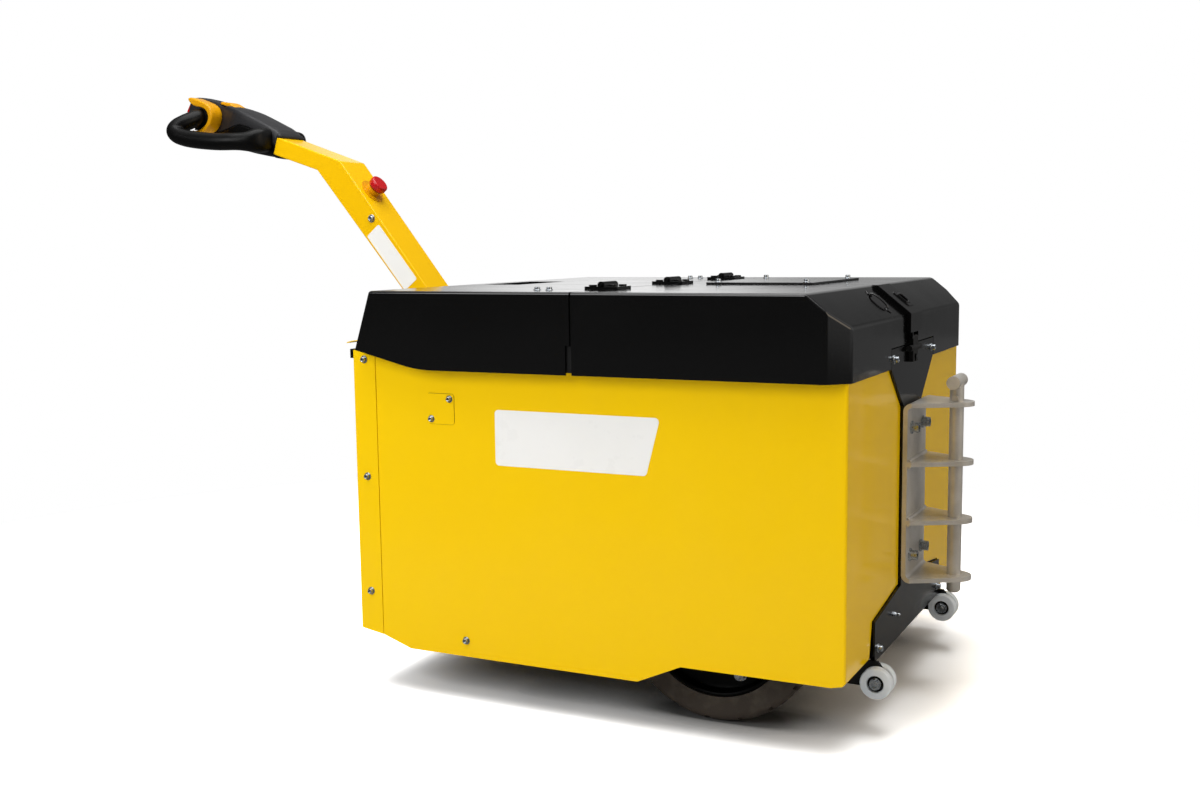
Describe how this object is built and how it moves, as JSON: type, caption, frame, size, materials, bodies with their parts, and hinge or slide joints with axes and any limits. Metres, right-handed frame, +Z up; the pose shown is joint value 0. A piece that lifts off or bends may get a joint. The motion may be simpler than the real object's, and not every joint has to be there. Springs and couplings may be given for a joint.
{
  "type": "walk behind electric tug",
  "caption": "Walk behind electric tug with a boxed body, drive wheels, swivel castor, hinged lid, pin hitch with slots and a tilting tiller with a control head.",
  "frame": {"origin": "on the floor, under the middle of the whole length and width", "axes": "+X toward the hitch, +Y to the tug's left seen from the tiller, +Z up"},
  "size_m": [1.7962, 0.875, 1.178],
  "materials": {
    "yellow_paint": "smooth satin powder coat, bright yellow",
    "black_paint": "satin black powder coat",
    "chassis_steel": "dark grey powder coat on welded plate",
    "black_gloss_plastic": "smooth glossy black moulding",
    "black_plastic": "matt black moulding",
    "grey_plastic": "matt dark grey moulding",
    "yellow_plastic": "smooth yellow moulding",
    "red_plastic": "smooth red moulding",
    "black_rubber": "matt black rubber",
    "tyre_rubber": "brown grey rubber with a block tread",
    "bare_steel": "milled bare steel, warm grey, satin",
    "zinc_steel": "bright zinc plate",
    "cast_aluminium": "sand cast and machined",
    "battery_case": "matt dark grey battery case",
    "copper_bar": "bare copper alloy bar",
    "white_nylon": "pale turned nylon"
  },
  "bodies": {
    "chassis": {"side_frames": "chassis_steel", "front_bulkhead": "chassis_steel", "middle_bulkhead": "chassis_steel", "rear_bulkhead": "chassis_steel", "battery_tray": "chassis_steel", "side_panel_left": "yellow_paint", "side_panel_right": "yellow_paint", "rear_panel": "yellow_paint", "rear_cover": "black_gloss_plastic", "cover_seal": "black_rubber", "instrument_panel": "black_plastic", "side_hatches": "yellow_paint", "front_plate": "black_paint", "hitch_bracket": "bare_steel", "hitch_screws": "zinc_steel", "roller_brackets": "black_paint", "roller_bolts": "zinc_steel", "drive_subframe": "chassis_steel", "transaxle": "cast_aluminium", "drive_motor": "black_paint", "castor_mount": "zinc_steel", "batteries": "battery_case", "battery_links": "copper_bar", "motor_controller": "cast_aluminium", "contactor": "black_plastic", "charger": "cast_aluminium", "charge_inlet": "black_plastic", "panel_screws": "zinc_steel", "hinge_leaves_cover": "black_paint"},
    "key": {"key_switch": "zinc_steel"},
    "lid": {"front_lid": "black_gloss_plastic", "latch_strip": "black_gloss_plastic", "lid_handle": "black_plastic", "lid_plate": "black_gloss_plastic", "lid_screws": "zinc_steel", "hinge_leaves_lid": "black_paint"},
    "latch": {"lid_latch": "black_rubber"},
    "drive_wheel_left": {"drive_rim_left": "black_paint", "drive_tyre_left": "tyre_rubber"},
    "drive_wheel_right": {"drive_rim_right": "black_paint", "drive_tyre_right": "tyre_rubber"},
    "castor": {"castor_fork": "zinc_steel"},
    "castor_roller": {"castor_wheel": "black_rubber"},
    "roller_a": {"roller_left_outer": "white_nylon"},
    "roller_b": {"roller_left_inner": "white_nylon"},
    "roller_c": {"roller_right_outer": "white_nylon"},
    "roller_d": {"roller_right_inner": "white_nylon"},
    "pin": {"hitch_pin": "bare_steel"},
    "yoke": {"tiller_yoke": "black_paint", "tiller_pivot_pin": "zinc_steel"},
    "tiller": {"tiller_arm": "yellow_paint", "arm_screws": "zinc_steel", "stop_collar": "yellow_plastic", "head_shell": "grey_plastic", "head_base": "black_plastic", "hand_grips": "black_plastic"},
    "paddles": {"throttle_paddles": "yellow_plastic"},
    "belly": {"belly_button": "red_plastic"},
    "rocker": {"speed_rocker": "yellow_plastic"},
    "stop": {"stop_button": "red_plastic"}
  },
  "joints": [
    {"name": "lid_hinge", "type": "hinge", "parent": "chassis", "child": "lid", "pos_m": [0.31514, 0, 0.755], "axis": [0, -1, 0], "range_deg": [0, 85]},
    {"name": "latch_hinge", "type": "hinge", "parent": "lid", "child": "latch", "pos_m": [0.79244, -0.02, 0.6545], "axis": [0, -1, 0], "range_deg": [0, 90]},
    {"name": "key_turn", "type": "hinge", "parent": "chassis", "child": "key", "pos_m": [-0.01586, -0.052, 0.728], "axis": [0, 0, -1], "range_deg": [0, 90]},
    {"name": "drive_left_spin", "type": "hinge", "parent": "chassis", "child": "drive_wheel_left", "pos_m": [0.52714, 0.271, 0.18], "axis": [0, 1, 0], "continuous": true},
    {"name": "drive_right_spin", "type": "hinge", "parent": "chassis", "child": "drive_wheel_right", "pos_m": [0.52714, -0.271, 0.18], "axis": [0, 1, 0], "continuous": true},
    {"name": "castor_swivel", "type": "hinge", "parent": "chassis", "child": "castor", "pos_m": [0.05314, 0, 0.175], "axis": [0, 0, 1], "continuous": true},
    {"name": "castor_spin", "type": "hinge", "parent": "castor", "child": "castor_roller", "pos_m": [0.00814, 0, 0.075], "axis": [0, 1, 0], "continuous": true},
    {"name": "roller_left_outer_spin", "type": "hinge", "parent": "chassis", "child": "roller_a", "pos_m": [0.79664, 0.2683, 0.0905], "axis": [0, 1, 0], "continuous": true},
    {"name": "roller_left_inner_spin", "type": "hinge", "parent": "chassis", "child": "roller_b", "pos_m": [0.79664, 0.2447, 0.0905], "axis": [0, 1, 0], "continuous": true},
    {"name": "roller_right_outer_spin", "type": "hinge", "parent": "chassis", "child": "roller_c", "pos_m": [0.79664, -0.2683, 0.0905], "axis": [0, 1, 0], "continuous": true},
    {"name": "roller_right_inner_spin", "type": "hinge", "parent": "chassis", "child": "roller_d", "pos_m": [0.79664, -0.2447, 0.0905], "axis": [0, 1, 0], "continuous": true},
    {"name": "pin_lift", "type": "slide", "parent": "chassis", "child": "pin", "axis": [0, 0, 1], "range_m": [0, 0.34]},
    {"name": "tiller_steer", "type": "hinge", "parent": "chassis", "child": "yoke", "pos_m": [-0.08886, 0, 0.44], "axis": [0, 0, 1], "range_deg": [-15, 15]},
    {"name": "tiller_tilt", "type": "hinge", "parent": "yoke", "child": "tiller", "pos_m": [-0.08886, 0, 0.525], "axis": [0, -1, 0], "range_deg": [0, 32]},
    {"name": "throttle_twist", "type": "hinge", "parent": "tiller", "child": "paddles", "pos_m": [-0.82476, 0, 1.12399], "axis": [0, 1, 0], "range_deg": [-18, 18], "stiffness_Nm_per_rad": 2},
    {"name": "belly_press", "type": "slide", "parent": "tiller", "child": "belly", "axis": [1, 0, 0], "range_m": [0, 0.008], "stiffness_N_per_m": 500, "springref_m": -0.003},
    {"name": "rocker_tilt", "type": "hinge", "parent": "tiller", "child": "rocker", "pos_m": [-0.75243, 0, 1.14313], "axis": [0, 1, 0], "range_deg": [-3, 3], "stiffness_Nm_per_rad": 1},
    {"name": "stop_press", "type": "slide", "parent": "tiller", "child": "stop", "axis": [-0.7853, 0, -0.6191], "range_m": [0, 0.005], "stiffness_N_per_m": 800, "springref_m": -0.002}
  ]
}
